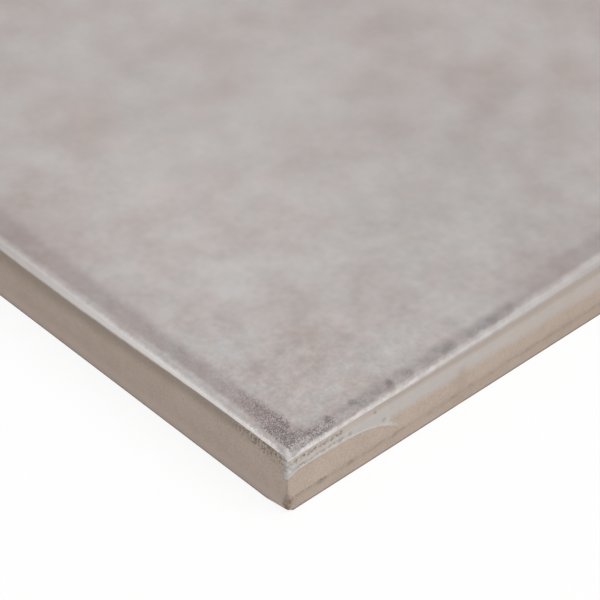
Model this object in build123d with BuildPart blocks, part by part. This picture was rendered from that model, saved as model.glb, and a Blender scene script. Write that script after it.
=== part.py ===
"""Square glazed ceramic wall tile, dust-pressed and fired as one piece.

The frame has +Z up through the glazed face, with the origin in the middle of the keyed back.
The tile lies face up, resting on the ribs and the margin of its back.
"""

import os

from build123d import *

# Driving dimensions, in millimetres

# The tile as it is sold
face_width = 200.0
face_length = 200.0
thickness = 9.0

# The pressed edge: a set-in foot, an upright wall, a rounded arris and a face that falls away to it
corner_radius = 0.6
foot_height = 2.0
foot_inset = 0.3
arris_radius = 0.5
cushion_width = 4.0
cushion_drop = 0.25

# The keyed back: shallow cells between ribs that grip the adhesive
key_margin = 12.0
key_columns = 8
key_rows = 8
key_rib = 4.0
key_corner_radius = 3.0
key_depth = 0.7
key_draft_degrees = 30.0

# Sizes that follow
wall_top = thickness - cushion_drop
key_pitch_x = (face_width - 2 * key_margin + key_rib) / key_columns
key_pitch_y = (face_length - 2 * key_margin + key_rib) / key_rows

# The cushion is a parabola: its edge, its middle and the line where it is level with the flat face
cushion_stations = (0.0, 0.5, 1.0)


def plan_outline(inset):
    """The tile's outline in plan, a given distance inside the wall."""
    return RectangleRounded(face_width - 2 * inset, face_length - 2 * inset, corner_radius)


with BuildPart() as tile:
    # The pressed blank, up to the top of its wall
    with BuildSketch():
        plan_outline(inset=0)
    extrude(amount=wall_top)

    # The cushioned face rises from the wall and levels out into the flat
    for station in cushion_stations:
        with BuildSketch(Plane.XY.offset(thickness - cushion_drop * (1 - station) ** 2)):
            plan_outline(inset=cushion_width * station)
    loft()

    # The arris between the wall and the cushion is rounded all the way round
    arris = tile.edges().filter_by_position(Axis.Z, wall_top, wall_top)
    fillet(arris, radius=arris_radius)

    # The foot, below the parting line of the die, is set in from the wall
    back_face = tile.faces().sort_by(Axis.Z)[0]
    chamfer(back_face.edges(), length=foot_inset, length2=foot_height, reference=back_face)

    # The cells of the keyed back
    with BuildSketch():
        with GridLocations(key_pitch_x, key_pitch_y, key_columns, key_rows):
            RectangleRounded(key_pitch_x - key_rib, key_pitch_y - key_rib, key_corner_radius)
    extrude(amount=key_depth, taper=key_draft_degrees, mode=Mode.SUBTRACT)

tile.part.label = "tile"
os.makedirs("parts", exist_ok=True)
export_step(tile.part, "parts/tile.step")
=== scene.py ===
# %% [markdown]
# # A glazed wall tile with a worn corner
#
# The object is one square of fired clay, pressed from dust, with a satin glaze fused to its face.
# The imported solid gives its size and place. This lesson models the same tile again as a fine mesh,
# with the wear that a solid leaves out, and paints it with one material worked out from position.

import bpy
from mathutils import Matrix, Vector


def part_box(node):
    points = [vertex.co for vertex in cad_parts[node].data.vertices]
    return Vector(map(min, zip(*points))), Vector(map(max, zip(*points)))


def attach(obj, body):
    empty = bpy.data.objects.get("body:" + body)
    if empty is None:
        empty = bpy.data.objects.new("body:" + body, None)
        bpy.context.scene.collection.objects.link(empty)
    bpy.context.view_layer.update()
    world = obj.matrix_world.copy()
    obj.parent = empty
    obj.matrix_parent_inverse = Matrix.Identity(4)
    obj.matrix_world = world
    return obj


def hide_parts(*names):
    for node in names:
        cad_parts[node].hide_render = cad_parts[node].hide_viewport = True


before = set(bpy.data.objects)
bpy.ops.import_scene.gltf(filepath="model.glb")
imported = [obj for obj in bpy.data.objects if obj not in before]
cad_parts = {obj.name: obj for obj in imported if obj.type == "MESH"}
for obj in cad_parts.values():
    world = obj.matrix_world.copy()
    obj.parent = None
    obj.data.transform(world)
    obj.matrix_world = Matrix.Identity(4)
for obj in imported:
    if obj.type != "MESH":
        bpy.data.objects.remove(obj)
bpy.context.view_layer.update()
low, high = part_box("tile")
print("solid from", [round(c * 1000, 2) for c in low], "to", [round(c * 1000, 2) for c in high], "mm")

# %% [markdown]
# ## Working in millimetres
#
# Blender measures in metres, and a tile maker thinks in millimetres. All sizes below are written in
# millimetres and multiplied by `MM` where they reach an operator. The corner nearest to the viewer is
# the one at -X and -Y: the wall that faces -X runs off to the left, the one that faces -Y to the right.

# %% Sizes taken from the frame
from math import cos, radians, sin

import bmesh
import bpy
from mathutils import Vector

MM = 0.001
half = high.x / MM
thickness = high.z / MM
print("half a side", round(half, 3), "mm, thickness", round(thickness, 3), "mm")

# %% [markdown]
# ## Selecting by place
#
# By hand you would box-select. In a script the same thing is a test on each vertex, edge or face.
# `pick` clears the selection first, because an operator acts on all that is selected.


# %% A helper that selects
def pick(piece, kind, test):
    """Select the verts, edges or faces of a piece in edit mode that pass a test, and count them."""
    bpy.ops.mesh.select_mode(type={"verts": "VERT", "edges": "EDGE", "faces": "FACE"}[kind])
    bpy.ops.mesh.select_all(action="DESELECT")
    mesh = bmesh.from_edit_mesh(piece.data)
    chosen = [element for element in getattr(mesh, kind) if test(element)]
    for element in chosen:
        element.select_set(True)
    mesh.select_flush_mode()
    bmesh.update_edit_mesh(piece.data)
    return len(chosen)


def edit(piece):
    """Go into edit mode on one piece alone."""
    bpy.ops.object.select_all(action="DESELECT")
    piece.select_set(True)
    bpy.context.view_layer.objects.active = piece
    bpy.ops.object.mode_set(mode="EDIT")


bpy.ops.object.select_all(action="DESELECT")
print("selected objects:", len(bpy.context.selected_objects))

# %% [markdown]
# ## The outline in plan
#
# A press die is a square hole with very slightly rounded corners. A plane with its corner vertices
# bevelled is that hole. Its face is dropped, so that only the rim is left, and the rim is subdivided:
# a vertex every two millimetres, and finer towards the near corner, where the wear is seen close by.

# %% Bevel and subdivide the rim
corner_radius = 0.25
corner_segments = 6
whole_reach = 3 * half
near_reach = 46.0
run_reach = 17.0

bpy.ops.mesh.primitive_plane_add(size=2 * half * MM, location=(0, 0, 0))
tile = bpy.context.object
tile.name = "glazed_tile"
edit(tile)
bpy.ops.mesh.select_all(action="SELECT")
bpy.ops.mesh.bevel(offset=corner_radius * MM, segments=corner_segments, affect="VERTICES")
bpy.ops.mesh.delete(type="ONLY_FACE")


def rim_edges(reach, shortest):
    """A test for straight rim edges within reach of the near corner, in millimetres."""
    def test(edge):
        far = max(max(v.co.x, v.co.y) for v in edge.verts) / MM + half
        return edge.calc_length() > shortest * MM and far < reach
    return test


# How far from the near corner, the shortest edge that is cut, and the number of cuts
rim_cuts = ((whole_reach, 50, 1), (whole_reach, 50, 98), (near_reach, 0.6, 2), (run_reach, 0.3, 1))
for reach, shortest, cuts in rim_cuts:
    pick(tile, "edges", rim_edges(reach, shortest))
    bpy.ops.mesh.subdivide(number_cuts=cuts)
rim_count = len(bmesh.from_edit_mesh(tile.data).verts)
print("vertices round the rim:", rim_count)

# %% [markdown]
# ## The section of the edge
#
# From the back upward the edge has a tiny round, a foot that leans out to the parting of the die, an
# upright wall, the rounded arris, and the cushion, where the face rises to its flat. Each ring of the
# mesh is one point of that section: how far it is set in from the widest outline, and its height.
# Arcs and lines are worked out, so no long table is needed. Rings lie closest where the glaze ends.


# %% Points of the section
def line(start, end, steps):
    """Points after start, up to and with end."""
    return [tuple(a + (b - a) * k / steps for a, b in zip(start, end)) for k in range(1, steps + 1)]


def arc(centre, radius, first, last, steps):
    """Points on a round, from one angle above the outward direction to another, in degrees."""
    angles = [radians(first + (last - first) * k / steps) for k in range(steps + 1)]
    return [(centre[0] - radius * cos(a), centre[1] + radius * sin(a)) for a in angles]


foot_round = 0.1
foot_inset = 0.24
parting_height = 2.0
fine_height = 7.0
arris_radius = 0.7
arris_starts, arris_ends = 8, 84
cushion_width = 4.0
cushion_drop = 0.25
cushion_rings = (0.75, 0.95, 1.2, 1.5, 2.0, 2.4, 2.9, 3.4, 4.0, 5.0, 6.5, 9.0)
foot_round_steps, foot_steps, wall_steps, fine_steps, arris_steps = 3, 5, 24, 10, 9


def cushion(inset):
    """A point of the cushioned face at an inset from the outline."""
    rise = min(inset / cushion_width, 1)
    return inset, thickness - cushion_drop * (1 - rise) ** 2


arris_end = radians(arris_ends)
wall_top = cushion(arris_radius * (1 - cos(arris_end)))[1] - arris_radius * sin(arris_end)
section = arc((foot_inset + foot_round, foot_round), foot_round, -90, 0, foot_round_steps)
section += line(section[-1], (0, parting_height), foot_steps)
section += line((0, parting_height), (0, fine_height), wall_steps)
section += line((0, fine_height), (0, wall_top), fine_steps)
section += arc((arris_radius, wall_top), arris_radius, arris_starts, arris_ends, arris_steps)
section += [cushion(inset) for inset in cushion_rings]
print("rings in the section:", len(section), "wall top at", round(wall_top, 3), "mm")

# %% [markdown]
# ## Extruding the section
#
# The rim is scaled to the first ring. Then each ring is the last one extruded straight up and scaled in
# plan about the middle of the tile. A square scaled about its middle moves all four walls by the same
# amount, which is just what an inset is.

# %% Extrude ring by ring
bpy.ops.mesh.select_all(action="SELECT")
last_inset, last_height = 0.0, 0.0
for number, (inset, height) in enumerate(section):
    if number:
        step = {"value": (0, 0, (height - last_height) * MM)}
        bpy.ops.mesh.extrude_edges_move(TRANSFORM_OT_translate=step)
    grow = (half - inset) / (half - last_inset)
    bpy.ops.transform.resize(value=(grow, grow, 1), center_override=(0, 0, 0))
    last_inset, last_height = inset, height
bpy.ops.object.mode_set(mode="OBJECT")
print("faces in the shell:", len(tile.data.polygons))

# %% [markdown]
# ## The flat field
#
# Inside the cushion the face is level, so it needs far fewer vertices than the rim. A coarse grid is
# joined to the shell, and the gap between the two rims is filled. A bridge would do where both rims had
# as many vertices. The fill copes with many against few, and lies in one plane, so it doesn't show.


# %% Grid, join and fill
def join_into(piece, *others):
    """Join other objects into a piece."""
    bpy.ops.object.select_all(action="DESELECT")
    for other in (*others, piece):
        other.select_set(True)
    bpy.context.view_layer.objects.active = piece
    bpy.ops.object.join()


field_margin = 12.0
field_cells = 60
bpy.ops.object.select_all(action="DESELECT")
bpy.ops.mesh.primitive_grid_add(x_subdivisions=field_cells, y_subdivisions=field_cells,
                                size=2 * (half - field_margin) * MM, location=(0, 0, thickness * MM))
join_into(tile, bpy.context.object)
edit(tile)
pick(tile, "edges", lambda e: e.is_boundary and e.verts[0].co.z > thickness / 2 * MM)
bpy.ops.mesh.fill(use_beauty=True)
bpy.ops.object.mode_set(mode="OBJECT")
print("faces with the field:", len(tile.data.polygons))

# %% [markdown]
# ## The keyed back
#
# The back of a pressed tile has shallow cells that the adhesive grips. One cell is modelled: a square
# with bevelled corners, inset four times, each time deeper, so that its walls lean and its rims are
# soft. Two Array modifiers repeat it, one along each side of the tile.

# %% One cell, repeated
key_margin = 12.0
key_count = 8
key_rib = 4.0
key_corner_radius = 3.0
key_pitch = (2 * (half - key_margin) + key_rib) / key_count
# Inset and depth of each step, from the mouth of a cell to its bottom
key_steps = ((0.08, 0.04), (0.1, 0.1), (0.22, 0.46), (0.16, 0.1))

bpy.ops.object.select_all(action="DESELECT")
first_cell = -(key_count - 1) / 2 * key_pitch * MM
bpy.ops.mesh.primitive_plane_add(size=(key_pitch - key_rib) * MM)
cell = bpy.context.object
edit(cell)
bpy.ops.mesh.select_all(action="SELECT")
bpy.ops.mesh.bevel(offset=key_corner_radius * MM, segments=corner_segments, affect="VERTICES")
pick(cell, "faces", lambda face: True)
for inset, depth in key_steps:
    bpy.ops.mesh.inset(thickness=inset * MM, depth=depth * MM)
bpy.ops.mesh.select_all(action="SELECT")
bpy.ops.transform.translate(value=(first_cell, first_cell, 0))
bpy.ops.object.mode_set(mode="OBJECT")
for direction in ((1, 0, 0), (0, 1, 0)):
    bpy.ops.object.modifier_add(type="ARRAY")
    array = cell.modifiers[-1]
    array.count = key_count
    array.use_relative_offset = False
    array.use_constant_offset = True
    array.constant_offset_displace = [key_pitch * MM * way for way in direction]
    bpy.ops.object.modifier_apply(modifier=array.name)
print("cells:", key_count ** 2, "pitch", round(key_pitch, 2), "mm")

# %% [markdown]
# ## Closing the back
#
# Ribs, cells and margin are one skin of clay. The cells join the tile, and one fill closes the ribs
# between their mouths and the rim of the foot. Bridging mouth by mouth would take a selection for each.

# %% Close the back
join_into(tile, cell)
edit(tile)
open_edges = pick(tile, "edges", lambda e: e.is_boundary)
bpy.ops.mesh.fill(use_beauty=True)
bpy.ops.mesh.select_all(action="SELECT")
bpy.ops.mesh.normals_make_consistent(inside=False)
volume = bmesh.from_edit_mesh(tile.data).calc_volume() / MM ** 3
bpy.ops.object.mode_set(mode="OBJECT")
print("open edges closed:", open_edges, "volume", round(volume / 1000, 1), "cubic centimetres")

# %% [markdown]
# ## Sums on numbers and on wires
#
# Where the glaze ends is both a shape and a colour: it stands proud of the clay, and it is white where
# the clay is tan. The same rule should place both. A rule for a shape works on numbers, and a rule for
# a colour works on shader sockets, so one small class wraps a socket and lets Python's own operators
# add the Math nodes. Every other node comes from its one method `node`.


# %% A wire that can do sums
class Wire:
    """An output socket of a shader node that Python can do sums with."""

    tree = None

    def __init__(self, socket):
        self.socket = socket

    @classmethod
    def node(cls, kind, settings=None, inputs=None, output=0):
        """Add a node, set its settings and then its inputs, and give one of its outputs."""
        made = cls.tree.nodes.new(kind)
        for name, setting in (settings or {}).items():
            setattr(made, name, setting)
        for name, value in (inputs or {}).items():
            if isinstance(value, Wire):
                cls.tree.links.new(value.socket, made.inputs[name])
            else:
                made.inputs[name].default_value = value
        return cls(made.outputs[output]) if made.outputs else None

    @classmethod
    def math(cls, operation, first, second=0.0):
        """A Math node on one or two values."""
        return cls.node("ShaderNodeMath", {"operation": operation}, {0: first, 1: second})

    def __add__(self, other):
        return self.math("ADD", self, other)

    def __sub__(self, other):
        return self.math("SUBTRACT", self, other)

    def __rsub__(self, other):
        return self.math("SUBTRACT", other, self)

    def __mul__(self, other):
        return self.math("MULTIPLY", self, other)

    def __truediv__(self, other):
        return self.math("DIVIDE", self, other)

    def __pow__(self, other):
        return self.math("POWER", self, other)

    def __abs__(self):
        return self.math("ABSOLUTE", self)

    __radd__ = __add__
    __rmul__ = __mul__


def is_wire(*values):
    """Whether any of the values is a wire."""
    return any(isinstance(value, Wire) for value in values)


def least(first, second):
    """The smaller of two numbers or wires."""
    return Wire.math("MINIMUM", first, second) if is_wire(first, second) else min(first, second)


def most(first, second):
    """The larger of two numbers or wires."""
    return Wire.math("MAXIMUM", first, second) if is_wire(first, second) else max(first, second)


def fade(value, start, end):
    """A mask that goes softly from 0 at start to 1 at end, for either order of the two."""
    if is_wire(value, start, end):
        inputs = {"Value": value, "From Min": start, "From Max": end}
        return Wire.node("ShaderNodeMapRange", {"interpolation_type": "SMOOTHSTEP"}, inputs)
    share = min(max((value - start) / (end - start), 0), 1)
    return share * share * (3 - 2 * share)


def away(first, second):
    """Distance from a place, from its parts in two directions."""
    return (first ** 2.0 + second ** 2.0) ** 0.5


print("fade on a number, half way:", fade(0.5, 0, 1))

# %% [markdown]
# ## Where the glaze ends
#
# On the real tile the glaze rolls over the arris and stops on the wall as a thin lip. On the X sides
# the lip is high near a corner and sinks further along, on the Y sides it is lower and level. At the
# near corner more glaze has run: a drip down the upright edge, and on the -Y wall a sheet whose lower
# edge swoops down to a point 15 mm along. These are rules of place, for numbers and wires alike.

# %% Rules of place
lip_at_corner = 8.05
lip_along_x_sides = 7.15
lip_along_y_sides = 7.52
lip_sinks = (4.0, 40.0)
run_height = 5.55
run_fall = 2.7
run_length = 15.5
run_swoop = 4.4
run_toe = 0.45
run_toe_ends = (1.7, 0.4)
run_tail = 0.3
run_depth = 4.0
run_narrows = (0.6, 1.9)
run_top = 6.55
drip_width = 0.36
drip_fade = 0.2
drip_ends = (4.7, 6.0)
drip_on_left, drip_on_front = 1.1, 0.5
wall_skin = (0.6, 0.35)


def sides(x, y):
    """Distances to the -X wall, the -Y wall, the nearest wall and the other one, and if it is a Y side."""
    edge_x, edge_y = half - abs(x), half - abs(y)
    on_y_side = fade(edge_x - edge_y, -0.5, 0.5)
    return x + half, y + half, least(edge_x, edge_y), most(edge_x, edge_y), on_y_side


def lip_height(along, on_y_side):
    """Height at which the glaze ends on the wall."""
    x_side = lip_at_corner - (lip_at_corner - lip_along_x_sides) * fade(along, *lip_sinks)
    return x_side + on_y_side * (lip_along_y_sides - x_side)


def run_edge(left):
    """Height of the lower edge of the run on the -Y wall."""
    return run_height - run_fall * (left / run_length) ** run_swoop - run_toe * fade(left, *run_toe_ends)


def run_cover(left, front, height, soft):
    """1 where the run or the drip at the near corner covers the clay."""
    above_edge = height - run_edge(left)
    tail_start, tail_end = (run_length - before_end for before_end in run_narrows)
    tail = run_tail + run_depth * fade(left, tail_start, tail_end) ** 2.0
    sheet = fade(above_edge, -soft, soft) * fade(above_edge - tail, soft, -soft) * fade(front, *wall_skin)
    sheet = sheet * fade(left, run_length + 0.3, run_length - 0.1) * fade(height, run_top + 2 * soft, run_top)
    drip = (drip_width + drip_fade) * fade(height, *drip_ends) - drip_fade
    return most(sheet, fade(most(drip_on_front * left, drip_on_left * front), drip + soft, drip - soft))


# Half way round the arris, the inset and the height add up to this
arris_middle = wall_top + arris_radius
print("lip at", [round(lip_height(d, 0), 2) for d in (0, 10, 20, 40)], "mm, by the distance from a corner")

# %% [markdown]
# ## Wear and glaze relief
#
# By hand you would paint a vertex group and let a Displace modifier push it along the normals. Here the
# weights come from each vertex's place. The bare clay sits back by the thickness of the glaze, its
# surface is grainy, and the arris is worn unevenly. All of it goes inward, so the tile keeps its size.


# %% Weights by place
lip_slope = 0.1


def paint(name, weight):
    """A vertex group whose weights come from the place of each vertex."""
    group = tile.vertex_groups.new(name=name)
    for vertex in tile.data.vertices:
        amount = weight(*(vertex.co / MM))
        if amount > 0:
            group.add([vertex.index], amount, "REPLACE")
    return group.name


def bare_weight(x, y, height):
    """Full on the bare wall, from just above the floor to the lip of the glaze."""
    left, front, nearest, along, on_y_side = sides(x, y)
    if nearest > wall_skin[0] or height > wall_top:
        return 0
    below_lip = fade(height - lip_height(along, on_y_side), lip_slope, -lip_slope)
    return below_lip * fade(height, 0.0, 0.4) * (1 - run_cover(left, front, height, lip_slope))


def arris_weight(x, y, height):
    """Full on the arris, and none on the wall or the flat face."""
    across = sides(x, y)[2] + height - arris_middle
    return fade(across, -0.6, -0.2) * fade(across, 1.0, 0.3)


def face_weight(x, y, height):
    """Full on the cushion and the flat face."""
    return fade(sides(x, y)[2], 0.6, 1.6) * fade(height, 8.5, 8.8)


bare_group = paint("bare_clay", bare_weight)
arris_group = paint("worn_arris", arris_weight)
face_group = paint("glazed_face", face_weight)
print("vertex groups:", [group.name for group in tile.vertex_groups])

# %% [markdown]
# ## Pushing the surface in
#
# Each painted group limits a Displace modifier. On the bare clay one sets the wall back evenly and one
# makes it grainy, another wears the arris, and the last gives the face the faint waves of a fired glaze.
# Each is applied at once, so that the next one works on the shape that the last one left.

# %% Displace along the normals
glaze_thickness = 0.06
clay_grain, clay_grain_size = 0.03, 0.7
arris_wear, arris_wear_size = 0.12, 1.2
face_waves, face_wave_size = 0.04, 9.0


def displace(group, depth, noise_size=None):
    """Push a painted group inward, evenly or by a cloud noise of a size in millimetres."""
    bpy.ops.object.modifier_add(type="DISPLACE")
    push = tile.modifiers[-1]
    push.vertex_group = group
    push.strength = -depth * MM
    push.mid_level = 0.0
    if noise_size:
        push.texture = bpy.data.textures.new(group + "_relief", type="CLOUDS")
        push.texture.noise_scale = noise_size * MM
        push.texture.noise_depth = 2
        push.texture_coords = "LOCAL"
    bpy.ops.object.modifier_apply(modifier=push.name)


bpy.ops.object.select_all(action="DESELECT")
tile.select_set(True)
bpy.context.view_layer.objects.active = tile
displace(bare_group, glaze_thickness)
displace(bare_group, clay_grain, clay_grain_size)
displace(arris_group, arris_wear, arris_wear_size)
displace(face_group, face_waves, face_wave_size)
print("corners now", [[round(c / MM, 3) for c in p] for p in (tile.bound_box[0], tile.bound_box[6])], "mm")

# %% [markdown]
# ## The chipped tip
#
# The bottom tip of the near corner is knocked off. A bisect with a slanted plane takes it away, and a
# fill closes the cut, as one tap against a hard floor would leave it.

# %% Bisect the tip
tip_left = 3.6
tip_front = 0.9
tip_height = 0.58
cut_threshold = 0.001
smooth_degrees = 38

tip = Vector((-half + foot_inset, -half + foot_inset, 0))
along_left, along_front = Vector((0, tip_left, 0)), Vector((tip_front, 0, 0))
upright = Vector((0, 0, tip_height))
outward = (along_front - along_left).cross(upright - along_left).normalized()
edit(tile)
bpy.ops.mesh.select_all(action="SELECT")
bpy.ops.mesh.bisect(plane_co=(tip + along_left) * MM, plane_no=outward, clear_outer=True,
                    threshold=cut_threshold * MM)
cut_edges = pick(tile, "edges", lambda e: e.is_boundary)
bpy.ops.mesh.fill(use_beauty=True)
bpy.ops.object.mode_set(mode="OBJECT")
bpy.ops.object.shade_smooth_by_angle(angle=radians(smooth_degrees))
triangles = sum(len(polygon.vertices) - 2 for polygon in tile.data.polygons)
print("edges round the chip:", cut_edges, "vertices:", len(tile.data.vertices), "triangles:", triangles)

# %% [markdown]
# ## Where am I on the tile
#
# The finish reads Object coordinates in millimetres. The same rules of place give the distances to the
# walls, and one useful number more: `across`, which is 0 on the middle of the arris, grows over the face
# and falls down the wall. Noises of several sizes make everything wander, because no fired edge is ruled.


# %% An empty finish, its distances and noises
def new_finish(name):
    """An empty material that the next nodes go into."""
    finish = bpy.data.materials.new(name)
    finish.use_nodes = True
    finish.node_tree.nodes.clear()
    Wire.tree = finish.node_tree
    return finish


def noise(size, seed, detail=2.0, roughness=0.5):
    """A noise around 0.5 whose largest lumps are about a size in millimetres."""
    inputs = {"Vector": spot, "W": seed, "Scale": 1 / size, "Detail": detail, "Roughness": roughness}
    return Wire.node("ShaderNodeTexNoise", {"noise_dimensions": "4D"}, inputs)


near_ends = (85.0, 5.0)
close_ends = (40.0, 5.0)
far_ends = (12.0, 48.0)

fired = new_finish("fired_glaze_and_clay")
spot = Wire.node("ShaderNodeTexCoord", output="Object")
spot = Wire.node("ShaderNodeMapping", {}, {"Vector": spot, "Scale": (1 / MM, 1 / MM, 1 / MM)})
x, y, height = (Wire.node("ShaderNodeSeparateXYZ", {}, {"Vector": spot}, output=axis) for axis in range(3))
left, front, nearest, along, on_y_side = sides(x, y)
across = nearest + height - arris_middle

drift = noise(6.0, 1.0) - 0.5
ripple = noise(1.1, 2.0, 3.0) - 0.5
speckle = noise(0.32, 3.0, 2.0, 0.9)
grain = fade(noise(0.125, 12.0, 1.0), 0.37, 0.63)
dots = fade(0.55 * noise(0.28, 11.0, 1.0) + 0.45 * noise(0.13, 15.0), 0.45, 0.57)
grit = noise(0.3, 4.0, 1.0)
near = fade(left + front, *near_ends)
close = fade(left + front, *close_ends)
far = fade(along, *far_ends)
print("nodes so far:", len(fired.node_tree.nodes))

# %% [markdown]
# ## Mixing colours
#
# A glaze is mixed from a few oxides, and this finish from a few colours, read off in the usual 0 to 255.
# A shader takes linear values, so each is converted once. A Mix node then lays one colour over another by
# a mask, as a brush would, and the masks come from places and noises instead of strokes.


# %% Helpers for colour
def blend(under, over, mask):
    """One colour over another by a mask."""
    return Wire.node("ShaderNodeMix", {"data_type": "RGBA"}, {0: mask, 6: under, 7: over}, output=2)


def stretch(value, low, high):
    """A noise stretched evenly so that low becomes 0 and high becomes 1."""
    return Wire.node("ShaderNodeMapRange", {}, {"Value": value, "From Min": low, "From Max": high})


def band(value, low, high, soft):
    """A mask that is 1 between two values and fades out on both sides."""
    return fade(value, low - soft, low + soft) * fade(value, high + soft, high - soft)


def paint_colour(red, green, blue):
    """A colour read off in the usual 0 to 255, as the linear values that a shader takes."""
    def linear(level):
        share = level / 255
        return share / 12.92 if share <= 0.04045 else ((share + 0.055) / 1.055) ** 2.4
    return (linear(red), linear(green), linear(blue), 1.0)


print("middle grey is", round(paint_colour(128, 128, 128)[0], 3), "to a shader")

# %% [markdown]
# ## The mottled face
#
# The glaze is a warm taupe that clouds over into a cooler grey. One set of noises turns the tint from
# warm to cool, another the tone from pale to deep. Both are broad and faint, and finer flecks grow
# stronger towards the worn corner. A few larger clouds are listed one by one.

# %% Face colour
pale_warm, pale_cool = paint_colour(198, 186, 182), paint_colour(192, 190, 189)
deep_warm, deep_cool = paint_colour(169, 157, 153), paint_colour(163, 161, 160)
cloud_size, fleck_size, fine_size = 14.0, 1.7, 0.42
tint_reach, tone_reach = 0.2, 0.13
# Distance from the left and the front wall, radius, lift of the tone, and turn of the tint
pale_clouds = ((18.0, 34.0, 26.0, 0.045, 0.0), (13.0, 22.0, 5.0, 0.03, 0.03), (22.0, 25.0, 5.0, 0.035, 0.03),
               (17.0, 41.0, 7.0, 0.03, 0.03), (37.0, 42.0, 7.0, 0.03, 0.03))
deep_clouds = ((42.0, 16.0, 30.0, -0.065, 0.02), (24.0, 56.0, 10.0, -0.03, -0.04),
               (52.0, 42.0, 10.0, -0.03, -0.04))

tint = -0.02 - 0.03 * near + 0.78 * (noise(cloud_size, 5.0, 2.0, 0.95) - 0.5)
tint = tint + (0.25 + 0.45 * close) * (noise(fleck_size, 17.0, 1.0, 0.95) - 0.5)
tone = 0.48 * (noise(cloud_size, 6.0, 2.0, 0.95) - 0.5) - 0.015 * near
tone = tone + (0.1 + 0.25 * near) * (noise(fleck_size, 16.0, 1.0, 0.95) - 0.5)
tone = tone + 0.34 * close * (noise(fine_size, 18.0, 1.0, 0.6) - 0.5)
for cloud_left, cloud_front, radius, lift, turn in pale_clouds + deep_clouds:
    cloud = fade(away(left - cloud_left, front - cloud_front) + 9.0 * drift, radius, 0.0)
    tone = tone + lift * cloud
    tint = tint + turn * cloud
tint = stretch(tint, -tint_reach, tint_reach)
tone = stretch(tone, -tone_reach, tone_reach)
face = blend(blend(deep_warm, deep_cool, tint), blend(pale_warm, pale_cool, tint), tone)
print("nodes so far:", len(fired.node_tree.nodes))

# %% [markdown]
# ## The darkened border
#
# A band of brown grey lies just inside the arris. Along the X sides it is a soft stripe with a firmer
# inner edge near the corners. Along the Y sides it sits on the arris itself and breaks into blotches.
# Where the two meet it is darkest and speckled.

# %% Border
warm_border, grey_border = paint_colour(118, 98, 96), paint_colour(104, 97, 97)
corner_ends = (12.0, 2.0)
further_ends = (8.0, 16.0)
# Distance from the left and the front wall, and radius
blotch_places = ((4.0, 0.6, 0.6), (6.5, 0.9, 0.7), (9.9, 1.15, 0.65), (14.7, 0.6, 0.85))

wander = across + 0.7 * drift + (0.4 + 0.4 * near) * ripple
corner = fade(along, *corner_ends)
further = fade(along, *further_ends)
lumps = fade(noise(3.5, 8.0, 3.0), 0.36, 0.64)
inner_edge = 3.2 + 0.15 * corner
outer_edge = 0.62 - 0.6 * far + 0.15 * corner
stripe = fade(wander, outer_edge, outer_edge + 0.7)
stripe = stripe * fade(wander, inner_edge + 0.7 - 0.5 * corner, inner_edge - 1.0 + 0.7 * corner)
stripe = stripe * (0.26 + (0.2 - 0.1 * far) * lumps + 0.18 * corner)
stripe = stripe + 0.06 * band(wander, 2.0, 5.5, 2.0)
stripe = stripe + 0.14 * band(wander, 2.5, 2.85, 0.2) * band(along, 3.0, 10.0, 1.5)
smudge = fade(wander, -0.8 + 0.4 * further, -0.1 + 0.3 * further) * fade(wander, 2.3, 0.4)
smudge = smudge * (0.32 + 0.4 * lumps) * (0.85 + 0.3 * fade(along, 9.0, 18.0))
for place_left, place_front, radius in blotch_places:
    aside = away(left - place_left, front - place_front) + 0.5 * ripple
    smudge = smudge + 0.45 * fade(aside, radius, 0.15 * radius)
smudged = on_y_side * fade(along, 44.0, 26.0)
border = stripe + smudged * (smudge - stripe)
patch = fade(nearest + 0.6 * ripple, 0.35, 0.85) * fade(1.4 * left + front + 2.0 * ripple, 7.6, 3.4)
border = border + 0.85 * patch
flecked = (0.4 * close + 1.3 * corner) * (grain - 0.5) + (0.2 * close + 0.6 * corner) * (dots - 0.45)
border = border * (1 + flecked)
border_colour = blend(warm_border, grey_border, most(smudged, most(patch, 0.6 * corner)))
face = blend(face, border_colour, least(border, 0.9))
print("nodes so far:", len(fired.node_tree.nodes))

# %% [markdown]
# ## The worn arris
#
# On the arris the coloured glaze has worn and pulled thin, so the white under it shows as a line. On the
# X sides it reaches over the round and thins out in specks, on the Y sides it stays below.

# %% Arris
white_glaze = paint_colour(250, 245, 243)
apex = fade(most(left, front), 2.2, 0.6)
edge_line = across + 0.25 * drift + 0.4 * ripple + (0.5 + 0.6 * corner) * (speckle - 0.5) + 0.5 * apex
high_line = fade(edge_line, 0.42 - 0.2 * corner, -0.65)
low_line = 0.55 * fade(edge_line, -0.35, -0.9)
patchy = fade(noise(1.3, 13.0, 2.0), 0.36, 0.64)
thin = (1 - (0.55 + 0.38 * on_y_side) * far) * (1.04 + 0.2 * corner + (0.1 + 0.8 * corner) * (grain - 0.5))
thin = thin - 0.2 * corner * dots
worn = (high_line + smudged * (low_line * (0.75 + 0.5 * patchy) - high_line)) * thin
worn = most(worn, 0.4 * fade(most(left, front) + 0.8 * ripple, 0.8, 0.3))
glaze = blend(face, white_glaze, least(worn, 1.0))
print("nodes so far:", len(fired.node_tree.nodes))

# %% [markdown]
# ## The clay wall
#
# Below the glaze the tile is bare fired clay, a pinkish tan biscuit with a fine grain. Dirt has gathered
# softly along the parting of the die on the Y sides, and at the knocked tip, and the Y sides grow darker
# towards the foot.
# The foot of the X sides is lightened by painted light, and a painted contact shadow runs along the bottom
# edge. The back is the same clay, and its ribs keep a chalky trace of the wash that stops a tile from
# sticking in the kiln, which also stands as painted light on the ribs against the shade of the cells.

# %% Clay
tan_clay, brown_clay = paint_colour(197, 180, 167), paint_colour(178, 160, 146)
painted_light_clay, chalk_and_rib_light = paint_colour(212, 196, 184), paint_colour(222, 214, 206)
stain_brown, contact_shadow_grey = paint_colour(116, 98, 84), paint_colour(100, 95, 88)
stain_height = 1.85
seam_height = 2.1

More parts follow.
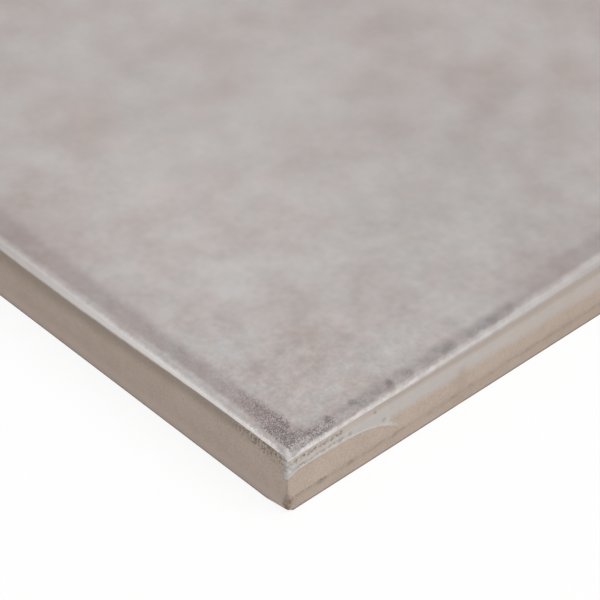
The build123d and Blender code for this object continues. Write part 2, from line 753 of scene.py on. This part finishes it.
on_wall = fade(nearest, 0.9, 0.5)
browner = stretch(noise(4.0, 9.0, 5.0, 0.85), 0.32, 0.78) + (0.2 + 0.6 * close) * (grain - 0.5) + 0.2 * far
clay = blend(tan_clay, brown_clay, browner)
# Painted light: the foot of the X sides is lightened, standing in for light from the floor on the lower wall
clay = blend(clay, painted_light_clay, 0.5 * on_wall * (1 - on_y_side) * fade(height, 2.6, 0.8))
stained = fade(noise(1.3, 10.0, 2.0), 0.48, 0.66)
stained = 0.1 + (0.25 - 0.18 * far) * stained + 0.06 * corner
parting = fade(abs(height - stain_height + 0.3 * drift), 0.55, 0.1) * stained
seam = fade(abs(height - seam_height + 0.2 * ripple), 0.15, 0.04) * band(along, 1.0, 6.0, 0.5) * dots
# Darker towards the foot on the Y sides
foot_darkening = fade(height, 3.2, 1.9) * (0.05 + 0.05 * far) * on_wall
clay = blend(clay, stain_brown, on_y_side * (foot_darkening + parting + 0.45 * seam))
knocked = fade(most(left, front) + 0.4 * abs(height - 1.1) + 0.8 * ripple, 1.3, 0.3)
knocked = most(knocked, 0.4 * fade(most(left, front), 0.35, 0.1)) * (0.6 + 0.5 * dots)
knocked = knocked + 0.4 * dots * fade(left + front + 0.8 * height + ripple, 3.4, 1.2)
clay = blend(clay, stain_brown, least(0.85 * knocked, 0.9))
# Painted contact shadow: a dark line along the bottom edge of the walls, where the tile meets the floor
clay = blend(clay, contact_shadow_grey, 0.75 * on_wall * fade(height, 0.3 + 0.08 * on_y_side, 0.08))
# Chalky kiln wash on the ribs of the back, which also stands as painted light on the ribs against the shaded
# cells
wash_and_rib_light = fade(noise(7.0, 19.0, 4.0), 0.35, 0.65) * (1 - on_wall) * fade(height, 0.12, 0.03)
clay = blend(clay, chalk_and_rib_light, 0.5 * wash_and_rib_light)
print("nodes so far:", len(fired.node_tree.nodes))

# %% [markdown]
# ## Painted shade and smear under the lip
#
# Just under the lip on the X sides lies a painted shadow line, and near the corner a finely speckled olive
# smear.
# By hand it would be one stroke of a rough brush. Here the distance below the lip is the stroke, so it
# follows the glaze wherever that wanders.

# %% Under the lip
olive_smear_and_shade = paint_colour(100, 88, 74)
smear_ends = (11.0, 3.0)

below = lip_height(along, on_y_side) - height + 0.3 * ripple
smeared = fade(front, *smear_ends) * fade(left, *wall_skin)
# Painted shadow under the lip of the glaze along the X sides, speckled into a real olive smear near the
# corner
smear_and_painted_shade = fade(below, -0.05, 0.25) * fade(below + 1.5 * smeared * ripple, 2.3 + 0.8 * far, 0.6)
smear_and_painted_shade = smear_and_painted_shade * (1 - on_y_side) * (0.36 + smeared * (0.8 * dots - 0.34))
wall = blend(clay, olive_smear_and_shade, smear_and_painted_shade)
print("nodes so far:", len(fired.node_tree.nodes))

# %% [markdown]
# ## Rubbed strip, run and film
#
# On the Y sides a strip of clay is rubbed brown. Below it, on the -Y wall, comes the whitish run with its
# paler edge under a painted highlight, and rows of dark specks, and a thin film goes on from it along the
# wall. The rule that raised the run also colours it, so that shape and colour end at the same line.

# %% Run and film
run_white, rim_white_and_highlight = paint_colour(199, 197, 196), paint_colour(216, 207, 199)
speck_grey, speck_brown = paint_colour(108, 110, 104), paint_colour(98, 84, 74)
film_fades = (60.0, 95.0)
film_height = 4.6
film_slope = 0.02
# Height, half the width, colour and strength of each row of specks
speck_rows = ((6.9, 0.45, speck_brown, 1.0), (6.05, 0.3, speck_grey, 1.0))
speck_ends = (0.9, 7.8)
streak_ends = (24.0, 25.2)
# Distance along the wall, height and radius
run_spots = ((7.3, 6.0, 0.45), (8.7, 6.0, 0.35), (12.2, 6.75, 0.3), (13.4, 5.0, 0.45))

on_front_wall = fade(front, *wall_skin)
fray = 0.3 * ripple + 0.5 * (grit - 0.5)
uneven = height + fray
cover = run_cover(left + fray, front + fray, uneven, 0.12)
film_edge = film_height - film_slope * (left - run_length) + 1.4 * drift
film = fade(height, film_edge - 0.5, film_edge + 0.7) * fade(left, 8.0, 14.0) * (0.62 - 0.2 * far)
thick = fade(left, 12.0, 5.0)
flecks = fade(noise(0.45, 14.0, 2.0), 0.38, 0.62)
milk = cover * (0.62 + thick * (0.3 * patchy + 0.4 * flecks + 0.3 * grain - 0.5) + 0.24 * apex)
milk = most(milk, film * fade(left, film_fades[1], film_fades[0]) * on_front_wall)
strip_low = run_top + 0.1 - 0.35 * fade(left, 16.0, 30.0)
strip_soft = 0.15 + 0.3 * further
strip = fade(height, strip_low - strip_soft, strip_low + strip_soft) * fade(left, 0.6, 0.9)
milk = milk + on_front_wall * strip * (0.56 + 0.2 * apex - milk)
wall = blend(wall, blend(run_white, rim_white_and_highlight, strip), milk)
wall = blend(wall, stain_brown, (0.13 + 0.2 * further - 0.08 * apex) * strip * on_y_side)
# Painted highlight along the lower lip of the run, over the glaze's own paler rim
run_rim_highlight = band(uneven - run_edge(left), 0.05, 0.35, 0.08) * band(left, 1.0, run_length - 0.9, 1.0)
wall = blend(wall, rim_white_and_highlight, (0.6 + 0.3 * thick) * on_front_wall * run_rim_highlight)
specks = flecks * (0.35 * dots + 0.65 * grain)
for row_height, reach, speck_colour, strength in speck_rows:
    row = fade(abs(height + 0.7 * ripple - row_height), reach, 0.2 * reach) * band(left, *speck_ends, 0.4)
    wall = blend(wall, speck_colour, strength * on_front_wall * row * specks)
upright_edge = fade(left + front, 1.3, 0.4) * band(height, 5.7, 7.8, 0.5)
wall = blend(wall, rim_white_and_highlight, 0.8 * upright_edge * flecks)
wall = blend(wall, speck_grey, 0.55 * upright_edge * dots)
for spot_left, spot_height, radius in run_spots:
    aside = away(left - spot_left, height - spot_height) + 0.4 * ripple
    wall = blend(wall, speck_grey, 0.4 * on_front_wall * fade(aside, radius, 0.2 * radius))
streak = band(left + 1.5 * drift, *streak_ends, 0.5) * fade(height, 6.0, 4.5) * on_front_wall
wall = blend(wall, brown_clay, 0.6 * streak)
print("nodes so far:", len(fired.node_tree.nodes))

# %% [markdown]
# ## Putting the finish together
#
# The wall turns into glaze at the lip. Glaze is satin, clay is dull. The bump's heights are written in
# millimetres, and its distance is set to one millimetre, so each of them is a real height.

# %% Shader
glaze_roughness, clay_roughness = 0.48, 0.84
glaze_relief, clay_relief = 0.008, 0.03

lip_soft = 0.06 + 0.32 * fade(along, 8.0, 24.0)
lip_sag = 0.13 * further * on_y_side + 0.08 * corner * (1 - on_y_side)
bare = fade(below - lip_sag, 0 - lip_soft, lip_soft)
base = blend(glaze, wall, bare)
dull = bare * (1 - 0.7 * cover)
roughness = glaze_roughness + (clay_roughness - glaze_roughness) * dull + 0.1 * (speckle - 0.5)
relief = dull * clay_relief * grit + (1 - dull) * glaze_relief * speckle
bump = Wire.node("ShaderNodeBump", {}, {"Strength": 1.0, "Distance": MM, "Height": relief})
coat = {"Base Color": base, "Roughness": roughness, "Normal": bump}
surface = Wire.node("ShaderNodeBsdfPrincipled", {}, coat)
Wire.node("ShaderNodeOutputMaterial", {}, {"Surface": surface})
tile.data.materials.clear()
tile.data.materials.append(fired)
print("nodes in the finish:", len(fired.node_tree.nodes))

# %% [markdown]
# ## The floor
#
# The tile lies on a plain white floor under soft light. Seen by the camera, most of the floor's white is
# its own, so that it reads as white paper, and the rest is lit, so that the tile's shadow stays. To
# other rays it is a light grey, or it would light the walls from below more than a studio floor does.


# %% Floor
direct_rays = ("Is Camera Ray", "Is Glossy Ray", "Is Transmission Ray")


def seen_directly():
    """A mask for rays from the camera, straight or by way of a reflection or a clear body."""
    straight, mirrored, through = (Wire.node("ShaderNodeLightPath", output=kind) for kind in direct_rays)
    return least(straight + mirrored + through, 1.0)


white = (1.0, 1.0, 1.0, 1.0)
bounce_grey = (0.8, 0.8, 0.8, 1.0)
own_white = 0.88
floor_size = 20

bpy.ops.object.select_all(action="DESELECT")
bpy.ops.mesh.primitive_plane_add(size=floor_size, location=(0, 0, 0))
floor = bpy.context.object
floor.name = "studio_floor"
paper = new_finish("white_paper")
glow = Wire.node("ShaderNodeEmission", {}, {"Color": white, "Strength": 1.0})
lit = Wire.node("ShaderNodeBsdfDiffuse", {}, {"Color": white})
grey = Wire.node("ShaderNodeBsdfDiffuse", {}, {"Color": bounce_grey})
shown = Wire.node("ShaderNodeMixShader", {}, {0: own_white, 1: lit, 2: glow})
paper_surface = Wire.node("ShaderNodeMixShader", {}, {0: seen_directly(), 1: grey, 2: shown})
Wire.node("ShaderNodeOutputMaterial", {}, {"Surface": paper_surface})
floor.data.materials.append(paper)
print("floor", [round(d, 1) for d in floor.dimensions[:2]], "m")

# %% [markdown]
# ## Air and lamp
#
# A studio wraps a pale object in soft light. The world gives an even part of it, and one large area lamp
# above and in front gives the rest, so that the wall that faces -Y is the lighter one. Seen directly the
# air is white, and for lighting it has a lower level of its own.

# %% World and lamp
sky_level = 0.5
key_power = 20.0
key_size = 1.4
key_from = Vector((0.15, -0.95, 1.6))

world = bpy.data.worlds.new("studio_air")
bpy.context.scene.world = world
world.use_nodes = True
world.node_tree.nodes.clear()
Wire.tree = world.node_tree
air = seen_directly()
level = sky_level + (1 - sky_level) * air
air_light = Wire.node("ShaderNodeBackground", {}, {"Color": white, "Strength": level})
Wire.node("ShaderNodeOutputWorld", {}, {"Surface": air_light})

bpy.ops.object.light_add(type="AREA", location=key_from)
key = bpy.context.object
key.name = "key_softbox"
key.data.size = key_size
key.data.energy = key_power
key.rotation_euler = (Vector((0, 0, 0)) - key_from).to_track_quat("-Z", "Y").to_euler()
print("lamp", key.name, "at", [round(c, 2) for c in key.location])

# %% [markdown]
# ## The camera
#
# The photograph was taken with a long lens, close to one corner: the edges hardly converge. The view is
# given by two angles, a distance, and how far the aim lies beside the middle of the corner's edge.

# %% Camera
view_azimuth = -42.543
view_elevation = 41.348
view_distance = 454.357
aim_right = 1.302
aim_up = 18.632
lens_mm = 270.0
sensor_mm = 36.0

around, above = radians(view_azimuth), radians(view_elevation)
back = Vector((sin(around) * cos(above), -cos(around) * cos(above), sin(above)))
right = (-back).cross(Vector((0, 0, 1))).normalized()
up = right.cross(-back)
aim = Vector((-half, -half, thickness / 2)) + right * aim_right + up * aim_up
bpy.ops.object.camera_add(location=(aim + back * view_distance) * MM)
camera = bpy.context.object
camera.name = "view_camera"
camera.rotation_euler = (-back).to_track_quat("-Z", "Y").to_euler()
camera.data.lens = lens_mm
camera.data.sensor_width = sensor_mm
camera.data.clip_start = 0.01
bpy.context.scene.camera = camera
bpy.context.scene.view_settings.view_transform = "Standard"
print("camera", [round(c, 3) for c in camera.location])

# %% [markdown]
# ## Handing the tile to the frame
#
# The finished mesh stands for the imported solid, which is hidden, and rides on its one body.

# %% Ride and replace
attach(tile, "root")
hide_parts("tile")
